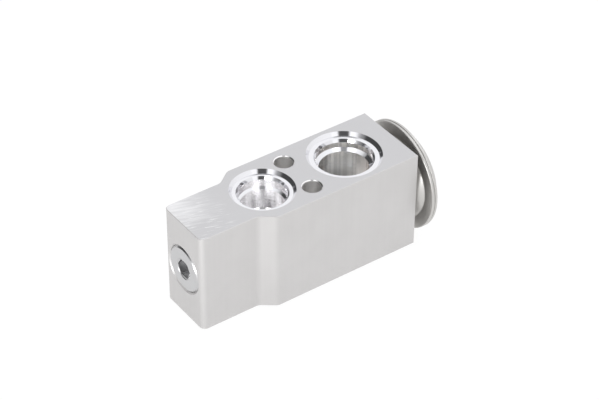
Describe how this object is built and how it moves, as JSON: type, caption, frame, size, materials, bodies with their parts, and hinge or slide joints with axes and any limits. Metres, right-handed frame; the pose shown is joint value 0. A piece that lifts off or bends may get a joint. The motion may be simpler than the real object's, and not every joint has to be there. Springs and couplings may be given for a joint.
{
  "type": "thermostatic expansion valve",
  "caption": "Block-type thermostatic expansion valve: aluminium block with suction passage, liquid ports, adjusting screw and round power head on the end.",
  "frame": {"origin": "midway between the two mounting holes, on the port face that the picture shows", "axes": "+X along the valve axis from the adjusting screw to the power head; +Z out of the port face, along the mounting holes; +Y across the block"},
  "size_m": [0.0893, 0.0378, 0.0378],
  "materials": {
    "block_aluminium": "machined and brushed, satin",
    "screw_aluminium": "turned, satin",
    "rod_aluminium": "drawn rod, satin",
    "head_steel": "drawn stainless sheet, bright",
    "plug_steel": "welded stainless plug",
    "diaphragm_steel": "thin rolled stainless sheet",
    "pin_steel": "ground stainless",
    "spring_steel": "drawn spring wire",
    "carrier_brass": "turned brass",
    "seal_rubber": "moulded rubber, matt black",
    "sleeve_plastic": "moulded plastic, natural"
  },
  "bodies": {
    "valve_block": {"valve_body": "block_aluminium", "orifice_seat": "pin_steel", "superheat_spring": "spring_steel", "pin_o_ring": "seal_rubber", "seal_washer": "carrier_brass", "seal_retainer": "spring_steel", "head_lower_housing": "head_steel", "head_seal_ring": "seal_rubber", "diaphragm": "diaphragm_steel", "head_upper_cap": "head_steel", "charge_plug": "plug_steel"},
    "valve_train": {"valve_ball": "pin_steel", "ball_carrier": "carrier_brass", "vibration_damper": "spring_steel", "push_pin": "pin_steel", "sensing_rod": "rod_aluminium", "rod_sleeve": "sleeve_plastic", "diaphragm_stop_plate": "carrier_brass"},
    "screw_carriage": {"adjusting_screw_o_ring": "seal_rubber"},
    "screw": {"adjusting_screw": "screw_aluminium"}
  },
  "joints": [
    {"name": "valve_stroke", "type": "slide", "parent": "valve_block", "child": "valve_train", "axis": [-1, 0, 0], "range_m": [0, 0.0008], "stiffness_N_per_m": 1000, "deforming": ["superheat_spring", "diaphragm"]},
    {"name": "screw_travel", "type": "slide", "parent": "valve_block", "child": "screw_carriage", "axis": [1, 0, 0], "range_m": [-0.00101, 0.00101], "deforming": ["superheat_spring"]},
    {"name": "screw_turn", "type": "hinge", "parent": "screw_carriage", "child": "screw", "pos_m": [-0.0432, 0, -0.018], "axis": [1, 0, 0], "range_deg": [-360, 360]}
  ],
  "couplings": [
    {"joint": "screw_travel", "follows": "screw_turn", "m_per_rad": 0.00015915}
  ]
}
